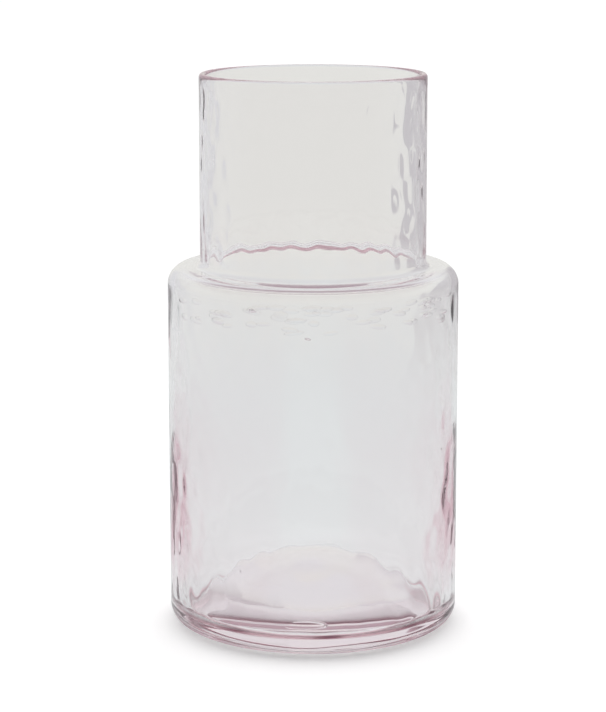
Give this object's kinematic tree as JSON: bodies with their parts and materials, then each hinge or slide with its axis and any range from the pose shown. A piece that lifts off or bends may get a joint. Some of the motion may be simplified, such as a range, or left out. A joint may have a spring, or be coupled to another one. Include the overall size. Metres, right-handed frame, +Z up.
{
  "type": "carafe",
  "caption": "Mouth-blown pale pink glass carafe with a wide straight body, pushed-up base, flat rounded shoulder and narrower open straight neck.",
  "frame": {"origin": "centre of the base, on the table that the carafe stands on", "axes": "+Z up along the carafe's axis of revolution, -Y towards the side that the picture shows, +X to its right"},
  "size_m": [0.105, 0.105, 0.2],
  "materials": {
    "blown_glass": "smooth outside, gently rippled inside, fire-polished rim, palest pink that deepens where the glass is thick",
    "pontil_glass": "snapped and fire-softened dab of the same glass"
  },
  "bodies": {
    "root": {"glass_vessel": "blown_glass", "pontil_mark": "pontil_glass"}
  },
  "joints": []
}
